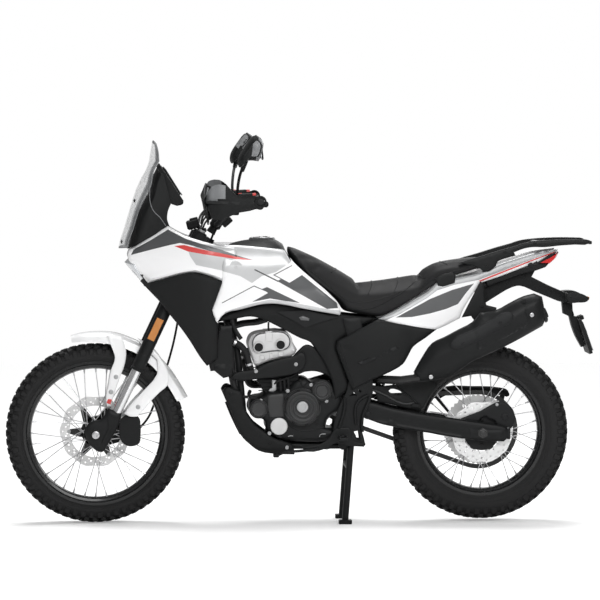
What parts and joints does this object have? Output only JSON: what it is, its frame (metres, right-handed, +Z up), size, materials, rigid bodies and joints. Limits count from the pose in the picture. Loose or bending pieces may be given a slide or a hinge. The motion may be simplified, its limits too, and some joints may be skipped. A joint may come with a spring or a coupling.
{
  "type": "dual sport motorcycle",
  "caption": "Tall off-road capable motorcycle with wire wheels, beak-shaped nose, windscreen, rear rack and a centre stand, on which it is parked.",
  "frame": {"origin": "on the floor, under the middle of the whole machine's box", "axes": "+X to the rear, +Y to the far side of the picture, +Z up"},
  "size_m": [2.1234, 0.898, 1.4034],
  "materials": {
    "white_panel": "glossy",
    "black_plastic": "satin",
    "frame_black": "satin",
    "engine_black": "satin",
    "engine_silver": "satin",
    "steel": "brushed",
    "rim_black": "satin",
    "tyre_rubber": "matte",
    "grip_rubber": "matte",
    "seat_vinyl": "matte",
    "clear_screen": "glossy",
    "lamp_lens": "glossy",
    "red_lens": "glossy"
  },
  "bodies": {
    "chassis": {"front_sprocket": "steel", "chain": "steel", "main_frame": "frame_black", "swingarm": "frame_black", "rear_axle": "steel", "rear_shock": "frame_black", "rear_caliper": "frame_black", "crankcase": "engine_black", "engine_covers": "engine_black", "cylinder_head": "engine_silver", "cylinder": "engine_black", "radiator": "black_plastic", "skid_plate": "black_plastic", "exhaust_pipe": "steel", "muffler": "frame_black", "nose_fairing": "white_panel", "headlight": "lamp_lens", "windscreen": "clear_screen", "dash_cowl": "black_plastic", "instrument_panel": "black_plastic", "shrouds": "black_plastic", "fuel_tank": "black_plastic", "tank_side_panels": "white_panel", "frame_covers": "black_plastic", "side_covers": "black_plastic", "seat": "seat_vinyl", "tail_fairing": "white_panel", "tail_light": "red_lens", "rear_rack": "frame_black", "rear_mudguard": "black_plastic", "rear_indicators": "lamp_lens", "rider_pegs": "steel"},
    "steering": {"fork_outer_tubes": "frame_black", "fork_inner_tubes": "engine_silver", "fork_feet": "frame_black", "front_axle": "steel", "triple_clamps": "frame_black", "handlebar": "frame_black", "grips": "grip_rubber", "hand_guards": "black_plastic", "mirrors": "black_plastic", "front_caliper": "frame_black", "brake_hose": "grip_rubber", "front_fender": "white_panel"},
    "front_wheel": {"front_tyre": "tyre_rubber", "front_rim": "rim_black", "front_hub": "engine_black", "front_spokes": "steel", "front_disc": "steel"},
    "rear_wheel": {"rear_tyre": "tyre_rubber", "rear_rim": "rim_black", "rear_hub": "engine_black", "rear_spokes": "steel", "rear_disc": "steel", "rear_sprocket": "steel"},
    "stand": {"centre_stand": "frame_black"},
    "cap": {"fuel_cap": "steel"}
  },
  "joints": [
    {"name": "steering", "type": "hinge", "parent": "chassis", "child": "steering", "pos_m": [-0.3722, 0, 0.94096], "axis": [0.4265, 0, 0.9045], "range_deg": [-36, 36]},
    {"name": "front_wheel", "type": "hinge", "parent": "steering", "child": "front_wheel", "pos_m": [-0.73596, 0, 0.326], "axis": [0, 1, 0], "continuous": true},
    {"name": "rear_wheel", "type": "hinge", "parent": "chassis", "child": "rear_wheel", "pos_m": [0.66404, 0, 0.32709], "axis": [0, 1, 0], "continuous": true},
    {"name": "stand", "type": "hinge", "parent": "chassis", "child": "stand", "pos_m": [0.18853, 0, 0.31546], "axis": [0, -1, 0], "range_deg": [0, 78]},
    {"name": "fuel_cap", "type": "hinge", "parent": "chassis", "child": "cap", "pos_m": [-0.17114, 0, 1.03271], "axis": [0, -1, 0], "range_deg": [0, 100]}
  ]
}
